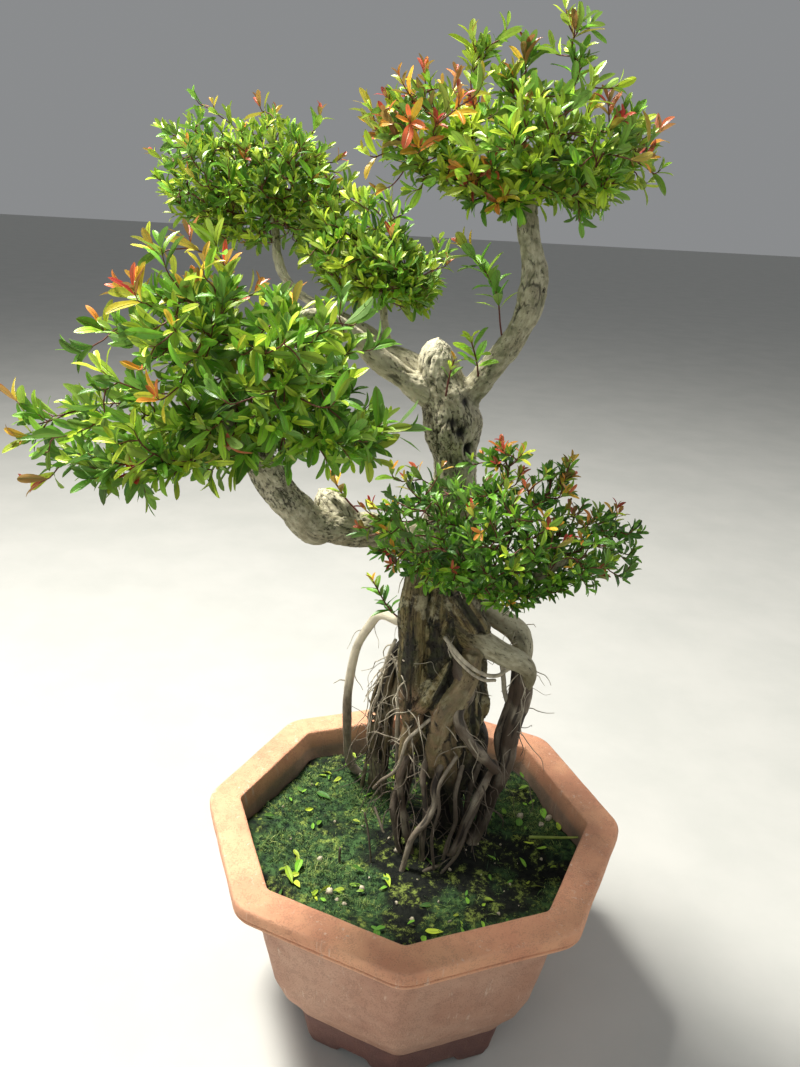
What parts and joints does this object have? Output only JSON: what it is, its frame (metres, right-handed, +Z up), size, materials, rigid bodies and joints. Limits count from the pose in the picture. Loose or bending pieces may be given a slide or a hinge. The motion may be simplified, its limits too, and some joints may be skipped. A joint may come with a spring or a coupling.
{
  "type": "bonsai tree in a pot",
  "caption": "Small-leaved bonsai tree with exposed roots, rounded foliage pads and mossy soil in an octagonal terracotta pot with corner feet.",
  "frame": {"origin": "middle of the whole object's footprint, at the soles of the pot's feet", "axes": "+Z up, the pot's corners on +X, -X, +Y and -Y of the pot's own middle, the tree's longest branch towards -X, front towards -Y"},
  "size_m": [0.3424, 0.2666, 0.607],
  "materials": {
    "terracotta": "unglazed fired clay, peach to dusty pink, scuffed, purple-brown at the foot",
    "soil": "dark damp potting soil",
    "moss": "uneven green moss over dark soil",
    "trunk_bark": "pale grey fissured bark, olive and ochre old wood low down",
    "root_bark": "grey-brown exposed roots, cream where new",
    "leaves": "glossy small leaves on red-brown twigs",
    "young_leaves": "glossy yellow-green leaves with orange and red tips",
    "fallen_leaves": "dry yellow-green leaves",
    "pale_stone": "matt pale stone",
    "green_stem": "smooth green stem"
  },
  "bodies": {
    "root": {"aerial_root": "root_bark", "back_left_branch": "trunk_bark", "back_root_left": "root_bark", "back_root_right": "root_bark", "branch_stub": "trunk_bark", "crotch_cluster": "young_leaves", "crotch_shoot": "young_leaves", "fallen_leaf_1": "fallen_leaves", "fallen_leaf_2": "fallen_leaves", "fallen_leaf_3": "fallen_leaves", "fallen_leaf_4": "fallen_leaves", "fallen_leaf_5": "fallen_leaves", "fallen_leaf_6": "fallen_leaves", "fallen_leaf_7": "fallen_leaves", "foliage_low_right": "leaves", "foliage_lower_left": "leaves", "foliage_middle": "leaves", "foliage_top_right": "leaves", "foliage_upper_left": "leaves", "front_left_branch": "trunk_bark", "front_root_a": "root_bark", "front_root_b": "root_bark", "green_twig": "green_stem", "knuckle_root": "root_bark", "left_root": "root_bark", "low_right_branch": "trunk_bark", "lower_left_branch": "trunk_bark", "mid_root": "root_bark", "middle_branch": "trunk_bark", "moss": "moss", "pebble_1": "pale_stone", "pebble_2": "pale_stone", "pebble_3": "pale_stone", "pebble_4": "pale_stone", "pebble_5": "pale_stone", "pebble_6": "pale_stone", "pot": "terracotta", "prop_root": "root_bark", "right_branch": "trunk_bark", "shoulder_root": "root_bark", "side_root_bundle": "root_bark", "side_shoot": "young_leaves", "soil": "soil", "stub_shoot": "young_leaves", "tap_root": "root_bark", "trunk": "trunk_bark", "trunk_shoot": "young_leaves", "twin_root": "root_bark"}
  },
  "joints": []
}
